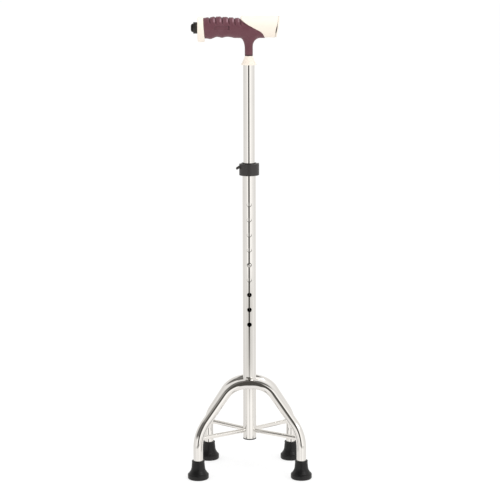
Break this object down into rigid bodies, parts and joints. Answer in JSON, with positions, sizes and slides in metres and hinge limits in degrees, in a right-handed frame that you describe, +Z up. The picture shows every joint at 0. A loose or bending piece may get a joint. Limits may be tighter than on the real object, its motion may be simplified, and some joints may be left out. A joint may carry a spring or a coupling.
{
  "type": "quad walking cane",
  "caption": "Height-adjustable walking cane on a frame of rubber-tipped legs, with a quick-lever clamp, a snap button and a torch built into its shaped handle.",
  "frame": {"origin": "on the floor, midway between the feet, under the common axis of the two tubes", "axes": "+Z up along the tubes' axis, +X the way the torch points, -Y the side with the adjusting holes"},
  "size_m": [0.2076, 0.1452, 0.7653],
  "materials": {
    "polished_tube": "polished, bright",
    "bright_rod": "polished",
    "clamp_metal": "satin",
    "fastener_steel": "zinc plated",
    "button_steel": "polished",
    "spring_steel": "blued",
    "foot_rubber": "matt",
    "switch_rubber": "matt",
    "grip_rubber": "soft touch",
    "lever_plastic": "satin",
    "cap_plastic": "satin",
    "nylon": "natural",
    "ivory_plastic": "satin gloss",
    "black_plastic": "moulded",
    "lens_clear": "clear",
    "mirror_bowl": "metallised",
    "seal_rubber": "matt",
    "board_white": "printed board",
    "slug_metal": "turned",
    "cell_wrap": "printed wrap"
  },
  "bodies": {
    "base": {"outer_tube": "polished_tube", "tube_end_cap": "cap_plastic", "front_arch": "polished_tube", "rear_arch": "polished_tube", "strut_front_left": "bright_rod", "strut_front_right": "bright_rod", "strut_rear_left": "bright_rod", "strut_rear_right": "bright_rod", "foot_front_left": "foot_rubber", "foot_front_right": "foot_rubber", "foot_rear_left": "foot_rubber", "foot_rear_right": "foot_rubber", "foot_washers": "fastener_steel", "guide_bush": "black_plastic", "clamp_ring": "clamp_metal", "clamp_screw": "fastener_steel", "clamp_nut": "fastener_steel", "lever_pin": "fastener_steel"},
    "upper": {"inner_tube": "polished_tube", "slide_bush": "nylon", "snap_spring": "spring_steel", "top_plug": "slug_metal", "post_rivet": "fastener_steel", "handle_post": "fastener_steel", "stem_cone": "ivory_plastic", "handle_barrel": "black_plastic", "grip": "grip_rubber", "nose_housing": "ivory_plastic", "lens_bezel": "ivory_plastic", "lens": "lens_clear", "lens_seal": "seal_rubber", "reflector": "mirror_bowl", "led_board": "board_white", "lamp_module": "slug_metal", "battery_carrier": "black_plastic", "battery_cells": "cell_wrap", "contact_spring": "fastener_steel", "rear_cap": "ivory_plastic", "switch_collar": "black_plastic", "switch_module": "black_plastic"},
    "snap_button": {"snap_button": "button_steel"},
    "clamp_lever": {"clamp_lever": "lever_plastic"},
    "switch_button": {"switch_button": "switch_rubber"}
  },
  "joints": [
    {"name": "height_slide", "type": "slide", "parent": "base", "child": "upper", "axis": [0, 0, 1], "range_m": [-0.1016, 0.1016], "deforming": ["snap_button"]},
    {"name": "snap_button_press", "type": "slide", "parent": "upper", "child": "snap_button", "axis": [0, 1, 0], "range_m": [0, 0.0043], "stiffness_N_per_m": 1200, "springref_m": -0.002, "deforming": ["snap_spring"]},
    {"name": "clamp_lever_swing", "type": "hinge", "parent": "base", "child": "clamp_lever", "pos_m": [0.01393, 0.00246, 0.5142], "axis": [0, 0, 1], "range_deg": [0, 115]},
    {"name": "torch_switch_press", "type": "slide", "parent": "upper", "child": "switch_button", "axis": [1, 0, 0], "range_m": [0, 0.0015], "stiffness_N_per_m": 2000, "springref_m": -0.001}
  ]
}
